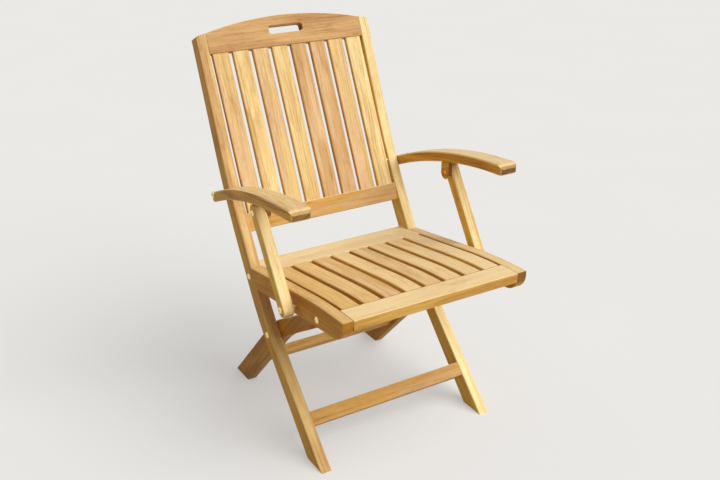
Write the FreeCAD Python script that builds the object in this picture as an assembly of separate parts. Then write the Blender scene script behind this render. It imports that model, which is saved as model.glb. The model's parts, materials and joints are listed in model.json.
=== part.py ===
import FreeCAD, Part
import math
import os

V = FreeCAD.Vector

# Overall sizes, in millimetres.  The chair faces -Y, +Z is up, the floor is z = 0.
frame_width = 472.6
plate = 26.0
frame_inner = frame_width / 2 - plate
frame_outer = frame_width / 2

# Back frame: two stiles, bent twice, that run from the front feet to the crest.
front_foot_y = -315.0
leg_lean = 45.0
leg_length = 361.0
middle_lean = 31.2
middle_length = 348.1
low_bend_radius = 700.0
high_bend_radius = 1500.0
stile_depth_foot = 47.0
stile_depth_bend = 38.0
stile_depth_seat = 42.5
stile_depth_back = 39.0
stile_depth_top = 33.0
stretcher_up = 125.0

# Plane of the rails and slats of the back, and the arch of the crest.
back_lean = 24.76
back_foot_y = 25.5
back_foot_z = 369.4
crest_length = 593.0
crest_radius = 890.0

# Rails and slats of the back, measured up the plane of the back from its foot.
top_rail_start = 517.0
low_rail_start = 86.5
low_rail_width = 43.5
rail_setback = 1.5
rail_thickness = 24.0
hand_hold_width = 92.0
hand_hold_height = 19.0
hand_hold_corner = 6.0
hand_hold_centre = 558.0
slat_count = 8
slat_gap = 10.8
slat_end_gap = 6.5
back_slat_setback = 4.0
back_slat_thickness = 12.0

# Seat: side rails in the plane of the stiles, a wide front rail and curved slats.
seat_front_y = -415.0
seat_crown_z = 429.2
seat_crown_y = -425.0
seat_bow_radius = 1280.0
seat_slope = 8.33
seat_rear_z = 378.0
seat_side_depth = 46.0
seat_front_corner = 36.0
front_rail_width = 57.0
front_rail_thickness = 24.0
rear_rail_width = 50.0
rear_rail_thickness = 22.0
seat_slat_thickness = 13.0
cross_rail_height = 36.0
cross_rail_depth = 33.0
ledger_depth = 38.0
ledger_height = 18.0
ledger_reach = 168.0

# Rear legs, arms and posts.
leg_plate = 25.0
leg_width = 51.0
leg_top_radius = 16.5
leg_knee = 330.0
leg_knee_radius = 320.0
rear_foot_y = 130.0
rear_leg_lean = 46.7
rear_stretcher_up = 120.0
arm_front_y = -302.0
arm_front_z = 639.5
arm_bow_y = -90.0
arm_bow_z = 612.0
arm_rear_y = 132.0
arm_rear_z = 537.8
arm_thickness = 24.0
arm_front_width = 50.0
arm_rear_width = 35.0
post_width = 26.0
post_depth = 26.0
cleat_thickness = 9.7

# Pivot axes in side view, as (y, z).
crossing = (-62.0, 234.5)
cross_bolt = (25.5, 352.0)
leg_top = (-308.0, 389.0)
post_foot = (-214.0, 380.0)
post_head = (-96.0, 563.0)
arm_rear = (121.0, 536.0)

# Fits and hardware.
side_gap = 0.8
arm_gap = 1.7
running = 0.05
joint_gap = 0.1
washer_gap = 0.3
stop_gap = 0.6
bolt_radius = 4.0
head_radius = 8.0
nut_radius = 7.0
head_height = 4.0
tenon_length = 16.0
bevel = 1.6
arm_bevel = 2.6

# Distance that centres the whole chair on the origin, front to back.
origin_shift = 59.3

leg_outer = frame_inner - side_gap
leg_inner = leg_outer - leg_plate
arm_inner = frame_outer + arm_gap
post_inner = arm_inner + 10.0
slat_pitch = (2 * (frame_inner - slat_end_gap) + slat_gap) / slat_count
slat_width = slat_pitch - slat_gap

lean_down = math.radians(leg_lean)
lean_middle = math.radians(middle_lean)
lean_up = math.radians(back_lean)
along_leg = V(0, math.sin(lean_down), math.cos(lean_down))
along_middle = V(0, math.sin(lean_middle), math.cos(lean_middle))
along_back = V(0, math.sin(lean_up), math.cos(lean_up))
front_foot = V(0, front_foot_y, 0)
low_bend = front_foot + along_leg * leg_length
high_bend = low_bend + along_middle * middle_length
back_start = V(0, back_foot_y, back_foot_z)
crest_top = back_start + along_back * crest_length
rear_lean = math.radians(rear_leg_lean)
up_rear_leg = V(0, -math.cos(rear_lean), math.sin(rear_lean))
over_rear_leg = V(0, math.sin(rear_lean), math.cos(rear_lean))
back_frame = FreeCAD.Placement(back_start, FreeCAD.Rotation(V(1, 0, 0), 90 - back_lean))


def at(pair, x=0.0):
    return V(x, pair[0], pair[1])


def behind(direction):
    return V(0, direction.z, -direction.y)


def polyline(points):
    return [Part.makeLine(a, b) for a, b in zip(points, points[1:])]


def tangent_arc(start, direction, end):
    """Arc that leaves start along direction and reaches end."""
    chord = end - start
    normal = direction.cross(chord.cross(direction)).normalize()
    radius = chord.dot(chord) / (2 * chord.dot(normal))
    centre = start + normal * radius
    middle = centre + ((start + end) * 0.5 - centre).normalize() * abs(radius)
    return Part.Arc(start, middle, end).toShape()


def rounded(points, *radii):
    """Straight edges through the points, joined at each corner by an arc tangent to both."""
    edges = []
    start = points[0]
    for corner, end, radius in zip(points[1:], points[2:], radii):
        before = (corner - start).normalize()
        after = (end - corner).normalize()
        reach = radius * math.tan(before.getAngle(after) / 2)
        leave = corner - before * reach
        arrive = corner + after * reach
        edges += [Part.makeLine(start, leave), tangent_arc(leave, before, arrive)]
        start = arrive
    return edges + [Part.makeLine(start, points[-1])]


def crossing_point(a, along_a, b, along_b):
    """Where two lines of the side view meet."""
    across = V(0, along_b.z, -along_b.y)
    return a + along_a * ((b - a).dot(across) / along_a.dot(across))


def prism(edges, direction):
    """Solid swept from a closed outline."""
    outline = Part.Wire(Part.__sortEdges__(edges))
    return Part.Face(outline).extrude(direction)


def plate_between(edges, inner, outer):
    """Side-view outline given a thickness across the chair."""
    solid = prism(edges, V(outer - inner, 0, 0))
    solid.translate(V(inner, 0, 0))
    return solid


def bevelled(shape, size, wanted):
    """Bevel the edges that the test accepts."""
    return shape.makeChamfer(size, [edge for edge in shape.Edges if wanted(edge)])


def on_side(edge, sides):
    box = edge.BoundBox
    flat = box.XLength < 0.01
    return flat and any(abs(box.XMin - side) < 0.01 for side in sides)


def both_sides(inner, outer):
    return lambda edge: on_side(edge, (inner, outer))


def long_edges(edge):
    box = edge.BoundBox
    return box.XLength < 0.01 and box.YLength > 50


def block(x0, x1, y0, y1, z0, z1):
    return Part.makeBox(x1 - x0, y1 - y0, z1 - z0, V(x0, y0, z0))


def in_back(shape):
    """Move a shape drawn in the plane of the back to its place."""
    shape.Placement = back_frame
    return shape


def rod(radius, x0, x1, pair):
    return Part.makeCylinder(radius, x1 - x0, at(pair, x0), V(1, 0, 0))


def domed_head(x, pair, radius=head_radius, outward=1):
    """Round head that stands on the plane x, turned from a faceted dome profile."""
    steps = [(radius, 0.0), (radius, 0.35), (radius * 0.55, 1.0), (0.0, 1.0)]
    rim = [at(pair, x)]
    for reach, rise in steps:
        rim.append(V(x + outward * head_height * rise, pair[0] + reach, pair[1]))
    face = Part.Face(Part.Wire(polyline(rim + [rim[0]])))
    return face.revolve(at(pair, x), V(1, 0, 0), 360)


def mirrored(shape):
    return shape.mirror(V(0, 0, 0), V(1, 0, 0))


def stile_outline():
    """Twice bent front edge, and a rear edge that tapers to the foot and to the crest."""
    heel = front_foot + V(0, stile_depth_foot / math.sin(lean_down), 0)
    along_top = (crest_top - high_bend).normalize()
    top_rear = crest_top + behind(along_top) * stile_depth_top
    bend_rear = low_bend + behind(along_leg) * stile_depth_bend
    seat_rear = low_bend + behind(along_middle) * stile_depth_seat
    back_rear = high_bend + behind(along_top) * stile_depth_back
    rising = (bend_rear - heel).normalize()
    leaning = (top_rear - back_rear).normalize()
    low_corner = crossing_point(heel, rising, seat_rear, along_middle)
    high_corner = crossing_point(seat_rear, along_middle, back_rear, leaning)
    front = rounded([front_foot, low_bend, high_bend, crest_top], low_bend_radius, high_bend_radius)
    rear = rounded([heel, low_corner, high_corner, top_rear],
                   low_bend_radius + stile_depth_seat, high_bend_radius + stile_depth_seat)
    return front + rear + polyline([heel, front_foot]) + polyline([crest_top, top_rear])


def crest_waste():
    """Everything above the arched top of the back."""
    above = Part.makeBox(700, 260, 260, V(-350, crest_length - 140, -130))
    under = Part.makeCylinder(crest_radius, 300, V(0, crest_length - crest_radius, -150))
    return in_back(above.cut(under))


def tenon(length_from, width, depth, centre_s, centre_n):
    """Tongue on a rail end, drawn in the plane of the back."""
    corner = V(length_from, centre_s - width / 2, centre_n - depth / 2)
    return Part.makeBox(tenon_length, width, depth, corner)


def rail_tenons(grow=0.0):
    """Tongues of the two back rails, on the right-hand side."""
    middle = -rail_setback - rail_thickness / 2
    low_centre = low_rail_start + low_rail_width / 2
    low = tenon(frame_inner, low_rail_width - 12 + grow, 10 + grow, low_centre, middle)
    high = tenon(frame_inner, 26 + grow, 10 + grow, top_rail_start + 18, middle)
    return in_back(Part.Compound([low, high]))


def stretcher_frame():
    """Local frame on the face of the straight leg, at the front stretcher."""
    start = front_foot + along_leg * stretcher_up
    return FreeCAD.Placement(start, FreeCAD.Rotation(V(1, 0, 0), 90 - leg_lean))


def stretcher_tenon(grow=0.0):
    tongue = Part.makeBox(tenon_length, 24 + grow, 10 + grow, V(frame_inner, -12 - grow / 2, -17 - grow / 2))
    tongue.Placement = stretcher_frame()
    return tongue


def cross_rail_tenon(grow=0.0):
    y, z = cross_bolt
    return block(frame_inner, frame_inner + tenon_length,
                 y + 5 - grow / 2, y + 12 + grow / 2, z + 8 - grow / 2, z + 20 + grow / 2)


def stile():
    solid = plate_between(stile_outline(), frame_inner, frame_outer)
    solid = solid.cut(crest_waste())
    solid = bevelled(solid, bevel, both_sides(frame_inner, frame_outer))
    for mortise in (rail_tenons(joint_gap), stretcher_tenon(joint_gap), cross_rail_tenon(joint_gap)):
        solid = solid.cut(mortise)
    for pivot in (crossing, cross_bolt, arm_rear):
        solid = solid.cut(rod(bolt_radius, frame_inner - 1, frame_outer + 1, pivot))
    return solid


def slat_positions():
    first = -(slat_pitch * (slat_count - 1) + slat_width) / 2
    return [first + slat_pitch * index for index in range(slat_count)]


def back_slat(x):
    """One back slat with a tongue at each end."""
    length = top_rail_start - low_rail_start - low_rail_width
    start = low_rail_start + low_rail_width
    front = -back_slat_setback
    body = Part.makeBox(slat_width, length, back_slat_thickness, V(x, start, front - back_slat_thickness))
    long_edges = [edge for edge in body.Edges if edge.BoundBox.YLength > length - 1]
    body = body.makeChamfer(bevel, long_edges)
    return in_back(body.fuse(slat_tongue(x)))


def slat_tongue(x, grow=0.0):
    reach = 10.0 + grow
    start = low_rail_start + low_rail_width - reach
    length = top_rail_start - low_rail_start - low_rail_width + 2 * reach
    middle = -back_slat_setback - back_slat_thickness / 2
    side = 6.0 - grow
    depth = 7.0 + 2 * grow
    return Part.makeBox(slat_width - 2 * side, length, depth, V(x + side, start, middle - depth / 2))


def back_slot(x):
    return in_back(slat_tongue(x, joint_gap))


def hand_hold():
    """Slot with rounded corners through the crest rail."""
    slot = Part.makeBox(hand_hold_width, hand_hold_height, 120,
                        V(-hand_hold_width / 2, hand_hold_centre - hand_hold_height / 2, -60))
    corners = [edge for edge in slot.Edges if edge.BoundBox.ZLength > 1]
    return in_back(slot.makeFillet(hand_hold_corner, corners))


def face_edges(front, rear):
    """Edges lying in the front or rear face of a rail of the back."""
    to_back = back_frame.inverse()

    def wanted(edge):
        heights = [to_back.multVec(vertex.Point).z for vertex in edge.Vertexes]
        level = sum(heights) / len(heights)
        flat = max(heights) - min(heights) < 0.01
        return flat and (abs(level - front) < 0.01 or abs(level - rear) < 0.01)

    return wanted


def not_ends(edge):
    box = edge.BoundBox
    return box.XLength > 0.5


def top_rail():
    front = -rail_setback
    height = crest_length - top_rail_start
    body = Part.makeBox(2 * frame_inner, height, rail_thickness,
                        V(-frame_inner, top_rail_start, front - rail_thickness))
    body = in_back(body).cut(crest_waste()).cut(hand_hold())
    faces = face_edges(front, front - rail_thickness)
    body = bevelled(body, bevel, lambda edge: faces(edge) and not_ends(edge))
    tongues = rail_tenons().Solids[1]
    body = body.fuse([tongues, mirrored(tongues)])
    for x in slat_positions():
        body = body.cut(back_slot(x))
    return body


def lower_back_rail():
    front = -rail_setback
    body = Part.makeBox(2 * frame_inner, low_rail_width, rail_thickness,
                        V(-frame_inner, low_rail_start, front - rail_thickness))
    body = bevelled(in_back(body), bevel, not_ends)
    tongues = rail_tenons().Solids[0]
    body = body.fuse([tongues, mirrored(tongues)])
    for x in slat_positions():
        body = body.cut(back_slot(x))
    return body


def front_stretcher():
    body = Part.makeBox(2 * frame_inner, 34, 23, V(-frame_inner, -17, -24))
    body = bevelled(body, bevel, not_ends)
    body.Placement = stretcher_frame()
    return body.fuse([stretcher_tenon(), mirrored(stretcher_tenon())])


def seat_bow(drop=0.0):
    """Centre of the seat's bow, and the point where the bow meets the straight slope."""
    centre = V(0, seat_crown_y, seat_crown_z - seat_bow_radius)
    slope = math.radians(seat_slope)
    reach = seat_bow_radius - drop
    return centre, centre + V(0, math.sin(slope), math.cos(slope)) * reach


def seat_top(y, drop=0.0):
    """Height of the seat surface: bowed in front, straight towards the back."""
    centre, end = seat_bow(drop)
    if y > end.y:
        return end.z - (y - end.y) * math.tan(math.radians(seat_slope))
    return centre.z + math.sqrt((seat_bow_radius - drop) ** 2 - (y - centre.y) ** 2)


def seat_line(y0, y1, drop=0.0):
    """Edges that follow the seat surface from y0 to y1, at a depth below it."""
    centre, end = seat_bow(drop)
    start = V(0, y0, seat_top(y0, drop))
    finish = V(0, y1, seat_top(y1, drop))
    if y0 >= end.y:
        return [Part.makeLine(start, finish)]
    last = end if y1 > end.y else finish
    middle = V(0, (y0 + last.y) / 2, seat_top((y0 + last.y) / 2, drop))
    bow = [Part.Arc(start, middle, last).toShape()]
    return bow + ([Part.makeLine(end, finish)] if y1 > end.y else [])


def seat_board(y0, y1, thickness, drop=0.0):
    """Outline of a board that lies in the seat surface, or at a depth below it."""
    low = drop + thickness
    ends = [Part.makeLine(V(0, y, seat_top(y, drop)), V(0, y, seat_top(y, low))) for y in (y0, y1)]
    return seat_line(y0, y1, drop) + seat_line(y0, y1, low) + ends


def seat_side_rail():
    """Plate in the plane of the stile, from its front edge to the seat's front."""
    rear_top = stile_touch(seat_rear_z) - stop_gap
    rear_low_z = seat_top(rear_top) - seat_side_depth
    rear_low = stile_touch(rear_low_z) - stop_gap
    front_low_z = seat_top(seat_front_y) - seat_side_depth
    low_rear = V(0, rear_low, rear_low_z)
    low_front = V(0, seat_front_y, front_low_z)
    front_top = V(0, seat_front_y, seat_top(seat_front_y))
    corner = math.atan2(low_front.z - low_rear.z, low_rear.y - low_front.y)
    radius = seat_front_corner * math.tan(math.radians(45) + corner / 2)
    edges = seat_line(seat_front_y, rear_top) + rounded([low_rear, low_front, front_top], radius)
    edges += polyline([low_rear, V(0, rear_top, seat_top(rear_top))])
    solid = plate_between(edges, frame_inner, frame_outer)
    solid = bevelled(solid, bevel, both_sides(frame_inner, frame_outer))
    solid = solid.cut(rod(bolt_radius, frame_inner - 1, frame_outer + 1, leg_top))
    return solid.cut(seat_rail_tenons(joint_gap))


def stile_touch(z):
    """Where the straight middle of the stile's front edge is, at a height."""
    return low_bend.y + (z - low_bend.z) * math.tan(lean_middle)


def seat_rail_tenons(grow=0.0):
    """Tongues of the seat's front and rear rails, on the right-hand side."""
    front_z = seat_top(seat_front_y + 28) - front_rail_thickness / 2
    rear_z = seat_top(-10) - rear_rail_thickness / 2
    half = 4.0 + grow / 2
    front = block(frame_inner, frame_inner + tenon_length, seat_front_y + 12 - grow / 2,
                  seat_front_y + 45 + grow / 2, front_z - half, front_z + half)
    rear = block(frame_inner, frame_inner + tenon_length, -26 - grow / 2,
                 -6 + grow / 2, rear_z - half, rear_z + half)
    return Part.Compound([front, rear])


def front_rail():
    outline = seat_board(seat_front_y, seat_front_y + front_rail_width, front_rail_thickness)
    body = bevelled(plate_between(outline, -frame_inner, frame_inner), bevel, not_ends)
    tongue = seat_rail_tenons().Solids[0]
    body = body.fuse([tongue, mirrored(tongue)])
    for x in slat_positions():
        body = body.cut(seat_tongue(x, joint_gap))
    return body


def rear_rail():
    rear = stile_touch(seat_rear_z)
    outline = seat_board(rear - rear_rail_width, rear, rear_rail_thickness)
    body = plate_between(outline, -frame_inner, frame_inner).cut(behind_slant(stop_gap))
    body = bevelled(body, bevel, not_ends)
    tongue = seat_rail_tenons().Solids[1]
    body = body.fuse([tongue, mirrored(tongue)])
    for x in slat_positions():
        body = body.cut(seat_tongue(x, joint_gap))
    return body


def slat_span():
    rear = stile_touch(seat_rear_z) - rear_rail_width
    return seat_front_y + front_rail_width, rear


def seat_slat(x):
    """Seat slat that follows the curve, with a tongue at each end."""
    y0, y1 = slat_span()
    body = plate_between(seat_board(y0, y1, seat_slat_thickness), 0.0, slat_width)
    body = bevelled(body, bevel, long_edges)
    body = body.fuse(seat_tongue(0.0).Solids)
    body.translate(V(x, 0, 0))
    return body


def seat_tongue(x, grow=0.0):
    y0, y1 = slat_span()
    reach = 8.0 + grow
    side = 6.0 - grow
    drop = seat_slat_thickness / 2
    half = 3.0 + grow
    tongues = []
    for start, end in ((y0 - reach, y0 + 1), (y1 - 1, y1 + reach)):
        level = seat_top((start + end) / 2) - drop
        tongues.append(block(x + side, x + slat_width - side, start, end, level - half, level + half))
    return Part.Compound(tongues)


def behind_slant(gap):
    """Everything behind a plane that runs up along the stiles' front edges."""
    top = V(0, stile_touch(seat_rear_z) - gap, seat_rear_z) + along_middle * 60
    low = top - along_middle * 200
    far = V(0, 200, 0)
    outline = polyline([low, top, top + far, low + far, low])
    return plate_between(outline, -frame_outer, frame_outer)


def cross_rail():
    """Seat-level rail fixed between the stiles, with its front along their slant."""
    top = V(0, stile_touch(seat_rear_z), seat_rear_z - 0.4)
    low = top - along_middle * cross_rail_height
    far = V(0, cross_rail_depth, 0)
    outline = polyline([low, top, top + far, low + far, low])
    body = plate_between(outline, -frame_inner, frame_inner)
    body = bevelled(body, bevel, not_ends)
    body = body.fuse([cross_rail_tenon(), mirrored(cross_rail_tenon())])
    hole = rod(bolt_radius, frame_inner - 34, frame_inner + tenon_length + 1, cross_bolt)
    return body.cut(hole).cut(mirrored(hole))


def ledger():
    """Strip along the cross rail's front that the folding seat rests on."""
    y1 = stile_touch(seat_rear_z)
    outline = seat_board(y1 - ledger_depth, y1, ledger_height, rear_rail_thickness + stop_gap)
    body = plate_between(outline, -ledger_reach, ledger_reach).cut(behind_slant(0.0))
    return bevelled(body, bevel, not_ends)


def rear_leg():
    """Cranked rear leg: straight below, tapering to a round end under the seat."""
    heel = V(0, rear_foot_y, 0)
    toe = V(0, rear_foot_y + leg_width / math.sin(rear_lean), 0)
    knee = heel + up_rear_leg * leg_knee
    rise = (at(leg_top) - knee - over_rear_leg * leg_width * 0.42).normalize()
    side = V(0, rise.z, -rise.y)
    low_end = at(leg_top) - side * leg_top_radius
    high_end = at(leg_top) + side * leg_top_radius
    high_knee = toe + up_rear_leg * (leg_knee + 22)
    tip = Part.Arc(low_end, at(leg_top) + rise * leg_top_radius, high_end).toShape()
    edges = rounded([heel, knee, low_end], leg_knee_radius) + [tip]
    edges += rounded([toe, high_knee, high_end], leg_knee_radius) + polyline([toe, heel])
    solid = plate_between(edges, leg_inner, leg_outer)
    solid = bevelled(solid, bevel, both_sides(leg_inner, leg_outer))
    solid = solid.cut(rear_stretcher_tenon(joint_gap))
    for pivot in (crossing, leg_top):
        solid = solid.cut(rod(bolt_radius + running, leg_inner - 1, leg_outer + 1, pivot))
    return solid


def rear_stretcher_frame():
    start = V(0, rear_foot_y, 0) + up_rear_leg * rear_stretcher_up + over_rear_leg * 20
    return FreeCAD.Placement(start, FreeCAD.Rotation(V(1, 0, 0), -rear_leg_lean))


def rear_stretcher_tenon(grow=0.0):
    tongue = Part.makeBox(tenon_length, 24 + grow, 10 + grow, V(leg_inner, -12 - grow / 2, -5 - grow / 2))
    tongue.Placement = rear_stretcher_frame()
    return tongue


def rear_stretcher():
    body = Part.makeBox(2 * leg_inner, 36, 22, V(-leg_inner, -18, -11))
    body = bevelled(body, bevel, not_ends)
    body.Placement = rear_stretcher_frame()
    return body.fuse([rear_stretcher_tenon(), mirrored(rear_stretcher_tenon())])


def arm_bow():
    """Centre and radius of the arc of the arm's top."""
    points = [V(0, arm_front_y, arm_front_z), V(0, arm_bow_y, arm_bow_z), V(0, arm_rear_y, arm_rear_z)]
    circle = Part.Arc(*points).toShape().Curve
    return circle.Center, circle.Radius


def arm_level(y, drop=0.0):
    """Height of the arm's top, or of a parallel arc below it."""
    centre, radius = arm_bow()
    return centre.z + math.sqrt((radius - drop) ** 2 - (y - centre.y) ** 2)


def arm_arc(y0, y1, drop=0.0):
    points = [V(0, y, arm_level(y, drop)) for y in (y0, (y0 + y1) / 2, y1)]
    return Part.Arc(*points).toShape()


def arm_side_outline():
    top = arm_arc(arm_front_y, arm_rear_y, 0.0)
    low = arm_arc(arm_front_y, arm_rear_y - 9, arm_thickness)
    top_end = V(0, arm_rear_y, arm_level(arm_rear_y))
    low_end = V(0, arm_rear_y - 9, arm_level(arm_rear_y - 9, arm_thickness))
    front = [V(0, arm_front_y, arm_level(arm_front_y, drop)) for drop in (0.0, arm_thickness)]
    nose = Part.Arc(low_end, (low_end + top_end) * 0.5 + V(0, 4.5, -1.0), top_end).toShape()
    return [top, low, nose] + polyline(front)


def arm():
    """Bowed arm, sawn from the side view and then tapered in plan."""
    outer = arm_inner + arm_front_width
    slim = arm_inner + arm_rear_width
    solid = plate_between(arm_side_outline(), arm_inner, outer)
    solid = solid.makeFillet(9.0, [edge for edge in solid.Edges if upright(edge)])
    far = arm_rear_y + 20
    waste = [V(outer, arm_front_y + 110, 400), V(slim, far, 400), V(outer, far, 400)]
    solid = solid.cut(prism(polyline(waste + [waste[0]]), V(0, 0, 400)))
    solid = bevelled(solid, arm_bevel, lambda edge: not upright(edge))
    return solid.cut(rod(bolt_radius + running, arm_inner - 1, outer + 1, arm_rear))


def upright(edge):
    box = edge.BoundBox
    return box.YLength < 1 and box.ZLength > arm_thickness - 2


def post_axis():
    return (at(post_head) - at(post_foot)).normalize()


def arm_post():
    """Square post with round ends, pivoted at both."""
    axis = post_axis()
    side = V(0, axis.z, -axis.y) * (post_depth / 2)
    low = at(post_foot) - axis * 5
    high = at(post_head) + axis * 7
    low_tip = Part.Arc(low - side, low - axis * (post_depth / 2), low + side).toShape()
    high_tip = Part.Arc(high - side, high + axis * (post_depth / 2), high + side).toShape()
    edges = [low_tip, high_tip] + polyline([low - side, high - side]) + polyline([low + side, high + side])
    solid = plate_between(edges, post_inner, post_inner + post_width)
    solid = bevelled(solid, bevel, both_sides(post_inner, post_inner + post_width))
    hole = rod(bolt_radius + running, post_inner - 1, post_inner + post_width + 1, post_head)
    tight = rod(bolt_radius, post_inner - 1, post_inner + post_width + 1, post_foot)
    return solid.cut(hole).cut(tight)


def arm_cleat():
    """Block fixed under the arm that carries the post's upper pivot."""
    y, z = post_head
    under = arm_thickness + joint_gap * 2
    outer = arm_inner + cleat_thickness
    low = z - 2
    left = V(0, y - 15, low)
    right = V(0, y + 15, low)
    tip = Part.Arc(left, V(0, y, low - 15), right).toShape()
    top_left = V(0, y - 15, arm_level(y - 15, under))
    top_right = V(0, y + 15, arm_level(y + 15, under))
    edges = [tip, arm_arc(y - 15, y + 15, under)] + polyline([left, top_left]) + polyline([right, top_right])
    solid = plate_between(edges, arm_inner, outer)
    return solid.cut(rod(bolt_radius, arm_inner - 1, outer + 1, post_head))


def bolt(start, head_plane, pair):
    """Domed bolt whose shank runs from start to the plane under its head."""
    shank = rod(bolt_radius, start, head_plane, pair)
    return shank.fuse(domed_head(head_plane, pair)).removeSplitter()


def cap_nut(x, pair):
    """Low domed nut inside the plane x."""
    return domed_head(x, pair, nut_radius, -1)


def crossing_bolt():
    inner = leg_inner - washer_gap
    shank = bolt(inner - 0.5, frame_outer, crossing)
    return shank.fuse(cap_nut(inner, crossing)).removeSplitter()


def seat_pivot_bolt():
    inner = leg_inner - washer_gap
    shank = bolt(inner - 0.5, frame_outer, leg_top)
    return shank.fuse(cap_nut(inner, leg_top)).removeSplitter()


def cross_rail_bolt():
    return bolt(frame_inner - 32, frame_outer, cross_bolt)


def arm_pivot_bolt():
    outer = arm_reach(arm_rear[0] - head_radius) + washer_gap
    shank = bolt(frame_inner, outer, arm_rear)
    return shank.fuse(cap_nut(frame_inner, arm_rear)).removeSplitter()


def arm_reach(y):
    """Outer face of the tapered part of the arm."""
    start = arm_front_y + 110
    taper = (arm_front_width - arm_rear_width) / (arm_rear_y + 20 - start)
    return arm_inner + arm_front_width - (y - start) * taper


def post_head_bolt():
    return bolt(arm_inner + 0.2, post_inner + post_width + washer_gap, post_head)


def post_foot_bolt():
    return bolt(frame_outer + washer_gap, post_inner + post_width, post_foot)


def post_spacer():
    """Brass spacer that keeps the post clear of the seat's side rail."""
    ring = rod(6.5, frame_outer + washer_gap, post_inner, post_foot)
    return ring.cut(rod(bolt_radius, frame_outer, post_inner + 1, post_foot))


def save(name, shape):
    solids = shape.Solids
    whole = solids[0] if len(solids) == 1 else Part.Compound(solids)
    whole.translate(V(0, origin_shift, 0))
    if not whole.isValid() or not solids:
        raise RuntimeError(name + " is not a valid solid")
    whole.exportStep("parts/" + name + ".step")


def save_pair(name, shape):
    save(name + "_right", shape.copy())
    save(name + "_left", mirrored(shape))


def save_group(name, shape):
    """Identical fasteners on the two sides, kept as separate solids."""
    save(name, Part.Compound([shape, mirrored(shape)]))


os.makedirs("parts", exist_ok=True)

save_pair("stile", stile())
save("top_rail", top_rail())
save("lower_back_rail", lower_back_rail())
save("front_stretcher", front_stretcher())
save("cross_rail", cross_rail())
save("ledger", ledger())
for number, x in enumerate(slat_positions(), start=1):
    save("back_slat_%d" % number, back_slat(x))
    save("seat_slat_%d" % number, seat_slat(x))

save_pair("seat_side_rail", seat_side_rail())
save("seat_front_rail", front_rail())
save("seat_rear_rail", rear_rail())

save_pair("rear_leg", rear_leg())
save("rear_stretcher", rear_stretcher())

save_pair("arm", arm())
save_pair("arm_cleat", arm_cleat())
save_pair("arm_post", arm_post())

save_group("crossing_bolts", crossing_bolt())
save_group("cross_rail_bolts", cross_rail_bolt())
save_group("arm_pivot_bolts", arm_pivot_bolt())
save_group("seat_pivot_bolts", seat_pivot_bolt())
save_pair("post_head_bolt", post_head_bolt())
save_pair("post_foot_bolt", post_foot_bolt())
save_pair("post_spacer", post_spacer())
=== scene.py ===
# %% [markdown]
# A folding teak armchair
#
# This lesson dresses a finished CAD model of a slatted garden chair.  The frame gives every
# board, bolt and pivot at its real size and place, so nothing here moves one.  What is left
# is what a joiner, a turner and an oil rag add: the grain of each board, soft arrises and
# rounded arm ends, turned brass heads, and a plain studio to look at it all in.

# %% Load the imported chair
import json
import math

import bmesh
import bpy
from mathutils import Matrix, Vector


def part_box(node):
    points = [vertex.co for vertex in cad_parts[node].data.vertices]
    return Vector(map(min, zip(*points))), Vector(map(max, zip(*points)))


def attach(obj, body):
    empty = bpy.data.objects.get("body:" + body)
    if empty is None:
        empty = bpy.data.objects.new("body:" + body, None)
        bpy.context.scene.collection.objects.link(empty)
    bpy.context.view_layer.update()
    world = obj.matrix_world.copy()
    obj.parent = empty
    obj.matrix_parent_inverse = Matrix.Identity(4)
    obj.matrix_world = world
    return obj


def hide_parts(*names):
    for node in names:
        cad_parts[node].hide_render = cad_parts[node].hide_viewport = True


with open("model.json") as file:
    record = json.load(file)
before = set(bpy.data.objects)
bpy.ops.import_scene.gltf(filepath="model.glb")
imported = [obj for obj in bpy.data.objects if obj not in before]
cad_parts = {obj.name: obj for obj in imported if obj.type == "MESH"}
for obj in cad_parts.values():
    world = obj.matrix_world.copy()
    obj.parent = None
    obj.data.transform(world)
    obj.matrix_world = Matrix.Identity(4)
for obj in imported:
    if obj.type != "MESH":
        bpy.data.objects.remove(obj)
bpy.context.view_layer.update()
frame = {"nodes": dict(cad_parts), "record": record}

nodes = frame["nodes"]
bodies = frame["record"]["behaviour"]["bodies"]

# %% [markdown]
# Where the viewer stands
#
# The picture looks down on the chair from the front, a little to its left.  The camera was
# worked out from the four feet and the parallel rails, so it is written as a place, a line
# of sight and a lens, and no shift is needed.

# %% Camera
EYE = Vector((-1.0620, -1.7774, 1.3323))  # metres, in the chair's own frame
LINE_OF_SIGHT = Vector((0.47608, 0.78229, -0.40170))
LENS = 47.22    # millimetres
SENSOR = 36.0   # millimetres wide

camera_data = bpy.data.cameras.new("viewpoint")
camera_data.sensor_fit = "HORIZONTAL"
camera_data.sensor_width = SENSOR
camera_data.lens = LENS
camera = bpy.data.objects.new("viewpoint", camera_data)
camera.location = EYE
camera.rotation_euler = LINE_OF_SIGHT.to_track_quat("-Z", "Y").to_euler()
bpy.context.scene.collection.objects.link(camera)
bpy.context.scene.camera = camera
print("camera", round(math.degrees(math.asin(-LINE_OF_SIGHT.z)), 1), "degrees down")

# %% [markdown]
# Shader maths that reads like maths
#
# A material is a net of nodes, and a formula made of Math nodes is hard to read as a list.
# A small class wraps one socket, so that a sum of two sockets adds the Math node by itself.
# Every other node comes from one method, which takes the node's type, its settings and what
# its sockets hold or are linked to.  A socket goes by its name or by its place in the node,
# and a place that says little by itself gets a name of its own.

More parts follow.
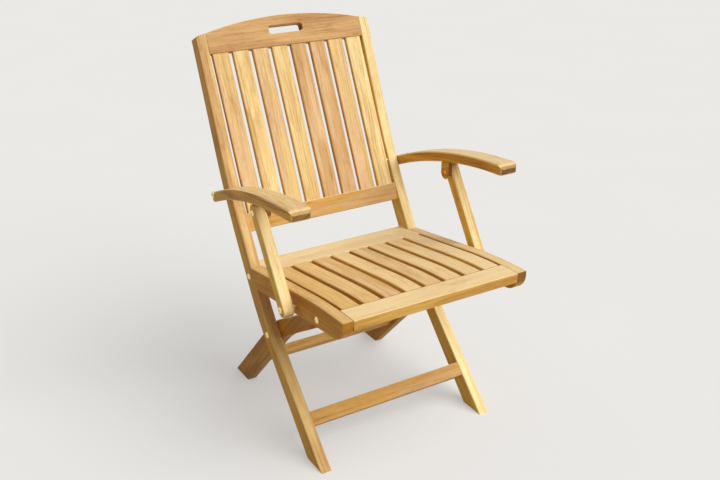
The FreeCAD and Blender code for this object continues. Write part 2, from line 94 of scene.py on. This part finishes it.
# %% A socket that can stand in a formula
class Wire:
    """One output of a shader node, usable in sums and products."""

    def __init__(self, finish, socket):
        self.finish = finish
        self.socket = socket

    def maths(self, operation, *values):
        return self.finish.node("ShaderNodeMath", {"operation": operation}, dict(enumerate(values)))

    def __add__(self, other):
        return self.maths("ADD", self, other)

    def __sub__(self, other):
        return self.maths("SUBTRACT", self, other)

    def __rsub__(self, other):
        return self.maths("SUBTRACT", other, self)

    def __mul__(self, other):
        return self.maths("MULTIPLY", self, other)

    def __truediv__(self, other):
        return self.maths("DIVIDE", self, other)

    def __pow__(self, other):
        return self.maths("POWER", self, other)

    __radd__ = __add__
    __rmul__ = __mul__

    def without_sign(self):
        return self.maths("ABSOLUTE", self)

    def larger(self, other):
        return self.maths("MAXIMUM", self, other)

    def between(self, low, high):
        """0 below low, 1 above high, and a smooth rise from one to the other."""
        settings = {"interpolation_type": "SMOOTHSTEP"}
        return self.finish.node("ShaderNodeMapRange", settings, {0: self, 1: low, 2: high})


# %% A material under construction
OBJECT_OUT = 3                                      # of Texture Coordinate
FIRST_COLOUR, SECOND_COLOUR, COLOUR_OUT = 6, 7, 2   # of Mix, when it mixes colours
SHARE = 0                                           # of Mix and of Mix Shader


class Finish:
    """A new material, with one method that adds any node."""

    def __init__(self, name):
        self.material = bpy.data.materials.new(name)
        self.material.use_nodes = True
        self.tree = self.material.node_tree
        self.tree.nodes.clear()

    def node(self, kind, settings=None, sockets=None, out=0):
        added = self.tree.nodes.new(kind)
        for key, value in (settings or {}).items():
            setattr(added, key, value)
        for key, value in (sockets or {}).items():
            if isinstance(value, Wire):
                self.tree.links.new(value.socket, added.inputs[key])
            else:
                added.inputs[key].default_value = value
        return Wire(self, added.outputs[out]) if added.outputs else None

    def coordinates(self, kind=OBJECT_OUT):
        """The place of a point on its object, or what another output says of it."""
        return self.node("ShaderNodeTexCoord", None, None, out=kind)

    def blend(self, share, first, second, how="MIX"):
        """One colour laid over another by a share, which may be a number or a wire."""
        settings = {"data_type": "RGBA", "blend_type": how}
        sockets = {SHARE: share, FIRST_COLOUR: first, SECOND_COLOUR: second}
        return self.node("ShaderNodeMix", settings, sockets, out=COLOUR_OUT)

    def noise(self, place, stretch, detail=2.0, roughness=0.5):
        """Noise whose cells measure 1 / stretch metres along each axis of place."""
        stretched = self.node("ShaderNodeVectorMath", {"operation": "MULTIPLY"}, {0: place, 1: stretch})
        sockets = {"Vector": stretched, "Scale": 1.0, "Detail": detail, "Roughness": roughness}
        return self.node("ShaderNodeTexNoise", None, sockets)

    def surface(self, colour, roughness, height, depth, **constants):
        """Closes the net: a Principled shader with a bump under it."""
        bump = self.node("ShaderNodeBump", None, {"Strength": 1.0, "Distance": depth, "Height": height})
        sockets = {"Base Color": colour, "Roughness": roughness, "Normal": bump}
        sockets.update({key.replace("_", " "): value for key, value in constants.items()})
        shader = self.node("ShaderNodeBsdfPrincipled", None, sockets)
        self.node("ShaderNodeOutputMaterial", None, {"Surface": shader})
        return self.material


# %% [markdown]
# Teak, board by board
#
# New teak is honey to straw coloured, and no two boards match.  A picture of wood wrapped on
# a board shows the same figure on its face and edge, so the grain here is worked out in the
# solid instead: growth rings lie around a pith that is a hand's breadth outside the board,
# fibres and pores run along it, and the colour drifts slowly.  Where a board is cut across,
# the same formulas show its rings as arcs, as on a real end.  Each board has its own pith,
# tone and place in the noise, and Object coordinates keep the figure still on a folding part.

# %% Tones of the timber
def shade(red, green, blue):
    """A colour given as screen values from 0 to 255, as the linear colour a shader needs."""
    linear = [((v / 255 + 0.055) / 1.055) ** 2.4 for v in (red, green, blue)]
    return (*linear, 1.0)


TONES = {
    "cream": shade(249, 226, 168),
    "straw": shade(241, 212, 148),
    "honey": shade(230, 196, 130),
    "blush": shade(225, 187, 138),
    # Painted light: the palest tone, laid on the rear stretcher in place of light that reaches under the
    # seat.
    "painted_light_gold": shade(252, 208, 126),
    "tan": shade(208, 166, 108),
    "clay": shade(198, 152, 100),
    "ochre": shade(222, 178, 94),
    "amber": shade(207, 158, 80),
    "walnut": shade(182, 136, 60),
}
print("tones", len(TONES))

# %% How a board sits in its log
SEED_STEP = 5.3   # metres between two boards in the same noise
# Each bend of a stile: its height, how much more the board leans below it, and its softness.
STILE_BENDS = [(0.26, 0.394, 0.08), (0.55, 0.175, 0.10)]


def parts_of(finish, vector):
    return [finish.node("ShaderNodeSeparateXYZ", None, {0: vector}, out=axis) for axis in range(3)]


def bends_taken_out(finish, spot):
    """Object coordinates in which a twice-bent stile is straight, so its grain follows it."""
    across, back, up = parts_of(finish, spot)
    for height, extra_slope, softness in STILE_BENDS:
        back = back - extra_slope * up.maths("SMOOTH_MIN", up, height, softness)
    return finish.node("ShaderNodeCombineXYZ", None, {0: across, 1: back, 2: up})


def grain_frame(finish, along, facing, centre, seed, bent):
    """Length, width and depth in the board's own frame, as one vector and three numbers."""
    turn = Matrix((along, facing.cross(along), facing))
    shift = Vector((seed * SEED_STEP, 0, 0)) - turn @ centre
    spot = finish.coordinates()
    if bent:
        spot = bends_taken_out(finish, spot)
    sockets = {"Vector": spot, "Location": shift, "Rotation": turn.to_euler()}
    place = finish.node("ShaderNodeMapping", {"vector_type": "POINT"}, sockets)
    return place, parts_of(finish, place)


# %% Growth rings
RING_WIDTH = 0.0055   # one year's growth, in metres
RING_SWAY = 0.030     # how far the rings wander along a board, in metres
YEARS_OUT = 130.0     # cells per metre of radius, of the noise of good and poor years
YEARS_ALONG = 0.5     # and per metre of length


def growth_rings(finish, place, parts, pith):
    """Distance through one year's ring, and how strong its dark late wood is."""
    length, width, depth = parts
    sway = finish.noise(place, (2.2, 9.0, 9.0), detail=2.0) - 0.5
    reach = ((width - pith[0]) ** 2.0 + (depth - pith[1]) ** 2.0) ** 0.5 + sway * RING_SWAY
    rings = reach / RING_WIDTH
    ring = rings.maths("FRACT", rings)
    late = ring.between(0.30, 0.90) - ring.between(0.90, 1.0)
    years = finish.node("ShaderNodeCombineXYZ", None, {0: reach * YEARS_OUT, 2: length * YEARS_ALONG})
    strong = finish.noise(years, (1.0, 1.0, 1.0), detail=0.0).between(0.32, 0.66)
    return ring, late * strong


# %% [markdown]
# What runs along the fibres
#
# Teak is read at several scales at once.  From the finest, a board shows pores, single
# fibres, short dark flecks, long oily streaks, broad stains and a slow drift from pale to
# deep.  One stretched noise could only give one of them, so each has its own, with its cells
# long in the grain and narrow across it.

# %% Grain marks
def grain_marks(finish, place, ring):
    """Noises of the board: the first three run about 0, and the rest are masks from 0 to 1."""

    def marks(along, across, detail, roughness=0.5):
        """Cells per metre along the board and across it."""
        return finish.noise(place, (along, across, across), detail, roughness)

    return {
        "drift": marks(4.5, 24.0, detail=3.0, roughness=0.6) - 0.5,
        "fibre": marks(7.0, 260.0, detail=3.0, roughness=0.65) - 0.5,
        "fine": marks(26.0, 1300.0, detail=1.0) - 0.5,
        "pore": marks(60.0, 1900.0, detail=0.0).between(0.60, 0.70) * (1.0 - ring),
        "streak": marks(4.5, 85.0, detail=2.0).between(0.54, 0.74),
        "fleck": marks(26.0, 420.0, detail=1.0).between(0.62, 0.74),
        "stain": marks(12.0, 34.0, detail=3.0, roughness=0.7).between(0.50, 0.72),
        "warmth": marks(5.0, 46.0, detail=2.0).between(0.40, 0.60),
    }


# %% [markdown]
# Faces, ends and arrises
#
# One board has several finishes on it.  Its cut ends are dark, because open fibres drink the
# oil.  Its arrises are pale, partly because they are rubbed and partly as a painted highlight.
# What looks up is paled by a painted top light, and what looks sideways is darkened by a
# painted shade, which is deeper on the side away from the lamp.  The direction of the surface
# tells them apart, and it is read in Object coordinates, so it stays with the board when the
# chair folds.

# %% Which way a surface looks
NORMAL_OUT = 1   # of Texture Coordinate
NUMBER_OUT = 1   # of Vector Math, when it gives a number


def looks_along(finish, axis):
    """1 where the surface looks along an axis, 0 where it lies along it, -1 where it looks back."""
    settings = {"operation": "DOT_PRODUCT"}
    sockets = {0: finish.coordinates(NORMAL_OUT), 1: axis}
    return finish.node("ShaderNodeVectorMath", settings, sockets, out=NUMBER_OUT)


def end_and_arris(finish, along, facing):
    """Masks of the board's two cut ends, and of its rounded edges."""
    axes = (along, facing.cross(along), facing)
    endways, edgeways, faceways = [looks_along(finish, axis).without_sign() for axis in axes]
    squarest = endways.larger(edgeways).larger(faceways)
    return endways.between(0.78, 0.94), 1.0 - squarest.between(0.74, 0.88)


# %% Painted light and shade, by the direction of the surface
UP = Vector((0, 0, 1))
ACROSS = Vector((1, 0, 0))
# Painted top light: the pale colour laid on what looks up.
PAINTED_TOP_LIGHT = shade(240, 213, 162)
# Pale arrises: partly rubbed wear and partly a painted highlight.
ARRIS_WEAR_AND_HIGHLIGHT = (1.08, 1.07, 1.04)
# Painted shade on the sides: deep on the side away from the lamp, and mild on the side towards it.
DEEP_PAINTED_SHADE = (0.90, 0.74, 0.28, 1.0)    # multiplies the side away from the lamp
MILD_PAINTED_SHADE = (0.94, 0.85, 0.56, 1.0)   # multiplies the side towards it


def scaled(colour, by, share=1.0):
    """A colour whose red, green and blue are multiplied by three numbers, and by a share."""
    return (*(part * factor * share for part, factor in zip(colour, by)), 1.0)


def painted_light_and_wear(finish, colour, tone, marks, arris, painted_top_light):
    """A board's colour with painted light: paler where it looks up, pale arrises that are partly rubbed
    and partly painted highlight, and painted shade at the sides.
    """
    upward = looks_along(finish, UP)
    uneven = 1.1 - 0.5 * marks["stain"] - 0.7 * marks["fibre"] - 1.2 * marks["drift"]
    # Painted top light: what looks up is paled towards a light colour, unevenly along the grain.
    colour = finish.blend(upward.between(0.74, 0.97) * painted_top_light * uneven, colour, PAINTED_TOP_LIGHT)
    # Pale arrises, partly rubbed wear and partly painted highlight, and a stronger painted highlight on
    # arrises that look up.
    colour = finish.blend(arris * 0.40, colour, scaled(tone, ARRIS_WEAR_AND_HIGHLIGHT))
    colour = finish.blend(arris * upward.between(0.25, 0.65) * 0.60, colour, PAINTED_TOP_LIGHT)
    # Painted shade: the sides are darkened and warmed by how they face the lamp.
    sideways = looks_along(finish, ACROSS)
    colour = finish.blend((0.0 - sideways).between(0.55, 0.92), colour, DEEP_PAINTED_SHADE, "MULTIPLY")
    return finish.blend(sideways.between(0.55, 0.92), colour, MILD_PAINTED_SHADE, "MULTIPLY")


# %% The teak recipe
FIBRE_RELIEF = 0.00022   # metres
PALE_FIBRE = (1.07, 1.09, 1.12, 1.0)
DEEP_FIBRE = (0.64, 0.50, 0.32, 1.0)
END_GRAIN = (0.38, 0.25, 0.12)
# Depth of the tone: 0 is all pale fibre and DEEPEST all deep, and each mark adds its part.
PLAIN_DEPTH = 0.33
DEEPEST = 1.4
DEEPENS = {"drift": 1.3, "fibre": 1.0, "fine": 0.3, "pore": 0.2, "streak": 0.36, "fleck": 0.34,
           "stain": 0.30}


def teak(name, tone, second, along, facing, centre, seed, pith, figure, painted_top_light, bent, ends):
    """A board's finish: the grain runs along, and facing is square to its wide face."""
    finish = Finish(name)
    place, parts = grain_frame(finish, along, facing, centre, seed, bent)
    ring, late = growth_rings(finish, place, parts, pith)
    marks = grain_marks(finish, place, ring)

    depth = PLAIN_DEPTH + late * figure
    for mark, weight in DEEPENS.items():
        depth = depth + marks[mark] * weight
    base = finish.blend(marks["warmth"], tone, second)
    pale = finish.blend(1.0, base, PALE_FIBRE, "MULTIPLY")
    deep = finish.blend(1.0, base, DEEP_FIBRE, "MULTIPLY")
    colour = finish.blend(depth.between(0.0, DEEPEST), pale, deep)

    end, arris = end_and_arris(finish, along, facing)
    colour = painted_light_and_wear(finish, colour, tone, marks, arris, painted_top_light)
    colour = finish.blend(end * (0.78 + 0.22 * late), colour, scaled(tone, END_GRAIN, ends))

    roughness = 0.52 + marks["fibre"] * 0.20 + late * 0.06 + end * 0.18 - arris * 0.06
    height = marks["fibre"] * 0.5 + marks["fine"] * 0.35 - marks["pore"] * 0.9 - late * 0.25
    return finish.surface(colour, roughness, height, FIBRE_RELIEF, Specular_IOR_Level=0.25)


# %% [markdown]
# Which way each board's grain runs
#
# A joiner lays the grain along a board's length, and on a cranked or bowed piece along the
# plank that it was sawn from.  So each family of boards has a grain direction and a face,
# in the chair's own frame.

# %% Directions of the boards
def lean(degrees, back=1.0):
    """Direction in the side view, leaning back from upright: 90 degrees is level."""
    angle = math.radians(degrees)
    return Vector((0, back * math.sin(angle), math.cos(angle)))


def square_to(direction):
    """Direction in the side view, a quarter turn from another, upwards or forwards."""
    return Vector((0, -direction.z, direction.y))


BACK = lean(24.8)
STILE = lean(23.3)
REAR_LEG = lean(43.3, back=-1.0)
STRETCHER = lean(45.0)
POST = lean(32.8)
SEAT = lean(96.0)
ARM = lean(100.0)


def dress(node, tone, second, along, facing, seed, pith=(0.05, 0.09), figure=0.36,
          painted_top_light=0.46, bent=False, ends=1.0):
    """Gives a CAD node its own board of teak.

    tone and second are its two tones, seed is its own place in the noise, and pith is where
    the log's middle lies beside it.  figure is how strong its rings are, the share after it is
    how much painted top light pales what looks up, bent is for a stile, and ends is how pale
    its end grain is.
    """
    low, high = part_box(node)
    material = teak("teak_" + node, TONES[tone], TONES[second], along, facing, (low + high) / 2,
                    seed, pith, figure, painted_top_light, bent, ends)
    for slot in nodes[node].material_slots:
        slot.material = material


def boards_dressed():
    return sum("teak_" + name in bpy.data.materials for name in nodes)


# %% Boards of the back
# Two tones of each slat, from left to right.
BACK_SLATS = [("honey", "blush"), ("honey", "straw"), ("blush", "honey"), ("straw", "honey"),
              ("blush", "tan"), ("tan", "blush"), ("honey", "blush"), ("straw", "cream")]
for index, (tone, second) in enumerate(BACK_SLATS):
    pith = (0.02 + 0.011 * (index * 5 % 8), 0.05 + 0.012 * (index * 3 % 5))
    dress("back_slat_%d" % (index + 1), tone, second, BACK, square_to(BACK), 11 + index, pith)

for side, seed, tone, second in (("left", 31, "honey", "tan"), ("right", 32, "straw", "cream")):
    dress("stile_" + side, tone, second, STILE, ACROSS, seed, pith=(0.09, 0.05), bent=True)
dress("top_rail", "tan", "clay", ACROSS, square_to(BACK), 33, pith=(0.06, 0.03), figure=0.28,
      painted_top_light=0.85)
dress("lower_back_rail", "tan", "amber", ACROSS, square_to(BACK), 34, figure=0.35)
dress("front_stretcher", "tan", "amber", ACROSS, square_to(STRETCHER), 35)
dress("cross_rail", "straw", "cream", ACROSS, UP, 36, painted_top_light=0.60)
dress("ledger", "tan", "honey", ACROSS, UP, 37)
print("boards dressed", boards_dressed())

# %% Boards of the seat
# Two tones of each slat and how much painted top light pales it, from left to right.
SEAT_SLATS = [("ochre", "ochre", 0.26), ("honey", "ochre", 0.36), ("amber", "blush", 0.30),
              ("honey", "straw", 0.50), ("blush", "amber", 0.44), ("honey", "tan", 0.54),
              ("honey", "blush", 0.54), ("straw", "straw", 0.80)]
for index, (tone, second, painted_top_light) in enumerate(SEAT_SLATS):
    pith = (0.03 + 0.009 * (index * 3 % 8), 0.06 + 0.01 * (index * 2 % 5))
    dress("seat_slat_%d" % (index + 1), tone, second, SEAT, square_to(-SEAT), 41 + index, pith,
          painted_top_light=painted_top_light)

for side, seed, painted_top_light, ends in (("left", 51, 0.34, 1.9), ("right", 52, 0.66, 0.9)):
    dress("seat_side_rail_" + side, "amber", "ochre", SEAT, ACROSS, seed, (0.02, 0.03),
          painted_top_light=painted_top_light, ends=ends)
dress("seat_front_rail", "ochre", "amber", ACROSS, UP, 53, painted_top_light=0.80)
dress("seat_rear_rail", "straw", "blush", ACROSS, UP, 54, painted_top_light=0.82)
print("boards dressed", boards_dressed())

# %% Rear legs, arms and posts
# The right arm's end grain is darker than the left's, a painted shade, and its top gets more painted top
# light.
for side, seed, painted_top_light, ends in (("left", 61, 0.38, 0.85), ("right", 62, 0.62, 0.4)):
    dress("rear_leg_" + side, "walnut", "amber", REAR_LEG, ACROSS, seed)
    dress("arm_" + side, "tan", "honey", ARM, square_to(-ARM), seed + 4, figure=0.44,
          painted_top_light=painted_top_light, ends=ends)
    dress("arm_cleat_" + side, "amber", "honey", ARM, ACROSS, seed + 8)
    dress("arm_post_" + side, "straw", "cream", POST, square_to(POST), seed + 12)
# The rear stretcher's palest tone is painted light, for light that reaches it under the seat.
dress("rear_stretcher", "painted_light_gold", "painted_light_gold", ACROSS, square_to(REAR_LEG), 75)
print("boards dressed", boards_dressed())

# %% [markdown]
# Arm ends, rounded by hand
#
# The front end of each arm is where a hand rests, so it is rounder than the machined arrises:
# its top edge and its corners are planed to a soft curve.  A copy of the CAD arm is merged
# into one skin, and a bisecting plane takes off each shaving, as a block plane would.  A bevel
# operator would stumble on the small arris that is already there.  The cuts only take wood
# away, so the arm stays within its own size.

# %% A block plane for closed meshes
SAME_PLACE = 1e-6   # metres, within which two vertices are one
SHAVINGS = 8        # between the two faces of an edge


def shave(work, point, outward):
    """Takes off what lies beyond a point in a direction, and closes the cut."""
    everything = work.verts[:] + work.edges[:] + work.faces[:]
    cut = bmesh.ops.bisect_plane(work, geom=everything, dist=SAME_PLACE, plane_co=point,
                                 plane_no=outward, clear_outer=True)
    rim = [item for item in cut["geom_cut"] if isinstance(item, bmesh.types.BMEdge)]
    bmesh.ops.holes_fill(work, edges=rim, sides=0)


def round_edge(work, centre, radius, first, second):
    """Planes an edge round, from facing the first way to facing the second."""
    for shaving in range(SHAVINGS):
        outward = first.slerp(second, (shaving + 1) / (SHAVINGS + 1))
        shave(work, centre + radius * outward, outward)


# %% A finished piece from a bmesh
def piece_from(work, name, crease, material):
    """An object that is smooth but for the edges sharper than crease, in degrees."""
    bmesh.ops.recalc_face_normals(work, faces=work.faces)
    print(name, len(work.faces), "faces", sum(not edge.is_manifold for edge in work.edges), "open edges")
    mesh = bpy.data.meshes.new(name)
    work.to_mesh(mesh)
    work.free()
    if "custom_normal" in mesh.attributes:
        mesh.attributes.remove(mesh.attributes["custom_normal"])  # the shading of the CAD skin
    mesh.shade_smooth()
    mesh.set_sharp_from_angle(angle=math.radians(crease))
    mesh.materials.append(material)
    piece = bpy.data.objects.new(name, mesh)
    bpy.context.scene.collection.objects.link(piece)
    return piece


# %% Round both arms
NOSE_RADIUS = 0.016     # metres
NOSE_START = 35.0       # degrees above level that the planing of the nose starts from
CORNER_RADIUS = 0.006   # metres
ARM_CREASE = 4.0        # degrees
FORWARD = Vector((0, -1, 0))


def rounded_arm(name):
    """Takes the place of a CAD arm, on the body of the same name, with the same board's finish."""
    low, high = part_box(name)
    work = bmesh.new()
    work.from_mesh(nodes[name].data)
    bmesh.ops.remove_doubles(work, verts=work.verts, dist=SAME_PLACE)

    centre = Vector((0, low.y + NOSE_RADIUS, high.z - NOSE_RADIUS))
    round_edge(work, centre, NOSE_RADIUS, lean(90.0 - NOSE_START, back=-1.0), UP)
    for side, face in ((-1, low.x), (1, high.x)):
        centre = Vector((face - side * CORNER_RADIUS, low.y + CORNER_RADIUS, 0))
        round_edge(work, centre, CORNER_RADIUS, FORWARD, side * ACROSS)

    piece = piece_from(work, "rounded_" + name, ARM_CREASE, bpy.data.materials["teak_" + name])
    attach(piece, name)
    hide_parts(name)


for name in ("arm_left", "arm_right"):
    rounded_arm(name)

# %% [markdown]
# Brass
#
# The pivots are brass, satin where it was turned and a little brown where fingers have been.
# A metal's colour is all in its reflection, so only its tint and its roughness change.

# %% The brass recipe
POLISHED = shade(243, 222, 158)
TARNISHED = shade(190, 152, 84)
SPECK_RELIEF = 0.00004   # metres


def brass():
    """Satin brass under small brown clouds and specks."""
    finish = Finish("brass_bolts")
    spot = finish.coordinates()
    cloud = finish.noise(spot, (90.0, 90.0, 90.0), detail=3.0)
    speck = finish.noise(spot, (700.0, 700.0, 700.0), detail=2.0)
    tarnish = cloud.between(0.45, 0.72) * 0.6 + speck.between(0.55, 0.75) * 0.25
    colour = finish.blend(tarnish, POLISHED, TARNISHED)
    roughness = 0.24 + tarnish * 0.22
    return finish.surface(colour, roughness, speck, SPECK_RELIEF, Metallic=1.0)


brass_finish = brass()
brass_nodes = [name for name in nodes if "bolt" in name or "spacer" in name]
for name in brass_nodes:
    for slot in nodes[name].material_slots:
        slot.material = brass_finish
print("brass nodes", len(brass_nodes))

# %% [markdown]
# Turned heads
#
# Every pivot ends in a domed head that came off a lathe: a thin washer, a narrow neck and a
# crown with a six-sided socket for the key.  The CAD bolt has only a plain dome, so a finer
# bolt takes its place.  A lathe is the spin operator, which carries a profile of a few points
# around the bolt's axis.  The socket is the innermost rings of the crown, pushed out to a
# hexagon.  The washer, the crown and the shank keep the CAD sizes, so each bolt still fills
# its own hole.

# %% Profiles in metres: distance out from the wood, then radius
SHANK_RADIUS = 0.004
HEAD_HEIGHT = 0.004
SOCKET_RADIUS = 0.0023
CROWN = [(0.0024, 0.0), (0.0024, SOCKET_RADIUS), (0.0039, SOCKET_RADIUS), (0.0040, 0.0028),
         (0.00385, 0.0040), (0.0034, 0.0053), (0.0027, 0.0063), (0.0018, 0.0069),
         (0.0013, 0.0069), (0.0011, 0.0066)]
WASHER = [(0.0011, 0.0077), (0.0009, 0.0080), (0.0, 0.0080)]
NUT = [(0.0, 0.0070), (0.0007, 0.0070), (0.0009, 0.0067), (0.0010, 0.0060), (0.0022, 0.0057),
       (0.0032, 0.0046), (0.0038, 0.0030), (0.0040, 0.0)]


# %% The lathe
TURN_STEPS = 48   # a multiple of twelve, so that the corners of a socket fall on a step
SIXTH = math.radians(60)
SAME_RING = 1e-5  # metres, within which a ring of the turning is the socket's wall


def spun(work, profile, axis_y, axis_z):
    """Spins a profile of (x, radius) points around a line that runs across the chair."""
    points = [work.verts.new((x, axis_y, axis_z + radius)) for x, radius in profile]
    line = [work.edges.new(ends) for ends in zip(points, points[1:])]
    bmesh.ops.spin(work, geom=points + line, cent=(0, axis_y, axis_z), axis=(1, 0, 0),
                   angle=2 * math.pi, steps=TURN_STEPS, use_merge=True)


def six_sided_socket(work, axis_y, axis_z):
    """Pushes the rings of the socket's wall out to a hexagon."""
    for vert in work.verts:
        spoke = Vector((vert.co.y - axis_y, vert.co.z - axis_z))
        if math.isclose(spoke.length, SOCKET_RADIUS, abs_tol=SAME_RING):
            off_middle = math.atan2(spoke.y, spoke.x) % SIXTH - SIXTH / 2
            spoke *= math.cos(SIXTH / 2) / math.cos(off_middle)
            vert.co.y, vert.co.z = axis_y + spoke.x, axis_z + spoke.y


# %% Turn every bolt
BOLT_CREASE = 32.0   # degrees
THROUGH_BOLTS = ("crossing_bolts", "seat_pivot_bolts", "arm_pivot_bolts")   # these end in a nut


def turned_bolt(name, body):
    """Takes the place of a CAD bolt, or of the pair of bolts in one node."""
    low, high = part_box(name)
    axis_y, axis_z = (low.y + high.y) / 2, (low.z + high.z) / 2
    reaches = [abs(vert.co.x) for vert in nodes[name].data.vertices]
    head_plane = max(reaches) - HEAD_HEIGHT
    if name in THROUGH_BOLTS:
        inner = min(reaches) + HEAD_HEIGHT
        tail = [(inner, SHANK_RADIUS)] + [(inner - out, radius) for out, radius in NUT]
    else:
        tail = [(min(reaches), SHANK_RADIUS), (min(reaches), 0.0)]
    head = [(head_plane + out, radius) for out, radius in CROWN + WASHER]
    profile = head + [(head_plane, SHANK_RADIUS)] + tail

    work = bmesh.new()
    for side, face in ((-1, low.x), (1, high.x)):
        if side * face > 0:
            spun(work, [(side * x, radius) for x, radius in profile], axis_y, axis_z)
    bmesh.ops.remove_doubles(work, verts=work.verts, dist=SAME_PLACE)
    six_sided_socket(work, axis_y, axis_z)

    piece = piece_from(work, "turned_" + name, BOLT_CREASE, brass_finish)
    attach(piece, body)
    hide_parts(name)


for body, members in bodies.items():
    for name in members:
        if "bolt" in name:
            turned_bolt(name, body)

# %% [markdown]
# A plain studio
#
# The chair stands on a pale floor, under one broad soft lamp from the viewer's right and
# above, with a slightly warm room light from all round.  On a board that looks up, the two
# lights add up to about one, so a tone renders about as it is written.  The floor that is
# seen glows a little, but the light that it sends back to the boards is that of a dull warm
# card, as from a wooden deck, so the undersides stay deep.

# %% What the camera and the brass see, apart from what lights the boards
CAMERA_RAY, GLOSSY_RAY, TRANSMISSION_RAY = 0, 3, 6   # outputs of Light Path


def seen_or_reflected(finish):
    """1 for a ray from the camera, or one that left metal or passed glass, and 0 for the rest."""
    kinds = (CAMERA_RAY, GLOSSY_RAY, TRANSMISSION_RAY)
    seen, mirrored, through = [finish.node("ShaderNodeLightPath", out=kind) for kind in kinds]
    return seen.larger(mirrored).larger(through)


def either(finish, unseen, seen):
    """One shader for light on the boards, and another for what is seen."""
    share = seen_or_reflected(finish)
    return finish.node("ShaderNodeMixShader", None, {SHARE: share, 1: unseen, 2: seen})


# %% Floor
FLOOR_HALF = 14.0   # metres from the middle to an edge
PALE = (0.80, 0.80, 0.795, 1.0)
PALER = (0.82, 0.82, 0.815, 1.0)
GLOW_SHARE = 0.45
SENT_BACK = (0.40, 0.31, 0.18, 1.0)


def pale_floor():
    """Pale to the eye and in reflections, and a duller card for the light it sends back."""
    finish = Finish("pale_floor")
    cloud = finish.noise(finish.coordinates(), (2.0, 2.0, 2.0), detail=2.0)
    pale = finish.blend(cloud, PALE, PALER)
    card = finish.node("ShaderNodeBsdfDiffuse", None, {"Color": pale})
    glow = finish.node("ShaderNodeEmission", None, {"Color": pale, "Strength": 1.0})
    seen = finish.node("ShaderNodeMixShader", None, {SHARE: GLOW_SHARE, 1: card, 2: glow})
    dull = finish.node("ShaderNodeBsdfDiffuse", None, {"Color": SENT_BACK})
    finish.node("ShaderNodeOutputMaterial", None, {"Surface": either(finish, dull, seen)})
    return finish.material


floor_mesh = bpy.data.meshes.new("floor")
floor_work = bmesh.new()
bmesh.ops.create_grid(floor_work, x_segments=1, y_segments=1, size=FLOOR_HALF)
floor_work.to_mesh(floor_mesh)
floor_work.free()
floor = bpy.data.objects.new("floor", floor_mesh)
floor_mesh.materials.append(pale_floor())
bpy.context.scene.collection.objects.link(floor)
print("floor", 2 * FLOOR_HALF, "metres wide")

# %% Lamp
TO_LAMP = Vector((0.40, -0.55, 0.73))
LAMP_LEVEL = 0.90
LAMP_WIDTH = 58.0   # degrees of the sky
LAMP_COLOUR = (1.0, 0.99, 0.97)

lamp_data = bpy.data.lights.new("broad_lamp", "SUN")
lamp_data.energy = LAMP_LEVEL * math.pi
lamp_data.angle = math.radians(LAMP_WIDTH)
lamp_data.color = LAMP_COLOUR
lamp = bpy.data.objects.new("broad_lamp", lamp_data)
lamp.rotation_euler = TO_LAMP.to_track_quat("Z", "Y").to_euler()
bpy.context.scene.collection.objects.link(lamp)
height_share = (TO_LAMP / TO_LAMP.length).z
print("lamp", round(math.degrees(math.asin(height_share))), "degrees above level")

# %% Room
ROOM_LEVEL = 0.38
ROOM_COLOUR = (1.0, 0.96, 0.90, 1.0)
BACKDROP = (0.855, 0.85, 0.84, 1.0)


class Room(Finish):
    """The world's net, which takes the same nodes as a material's."""

    def __init__(self, name):
        self.world = bpy.data.worlds.new(name)
        self.world.use_nodes = True
        self.tree = self.world.node_tree
        self.tree.nodes.clear()


room = Room("room")
light = room.node("ShaderNodeBackground", None, {"Color": ROOM_COLOUR, "Strength": ROOM_LEVEL})
backdrop = room.node("ShaderNodeBackground", None, {"Color": BACKDROP, "Strength": 1.0})
room.node("ShaderNodeOutputWorld", None, {"Surface": either(room, light, backdrop)})
bpy.context.scene.world = room.world
bpy.context.scene.view_settings.view_transform = "Standard"
print("light on a board that looks up", round(LAMP_LEVEL * height_share + ROOM_LEVEL, 2))
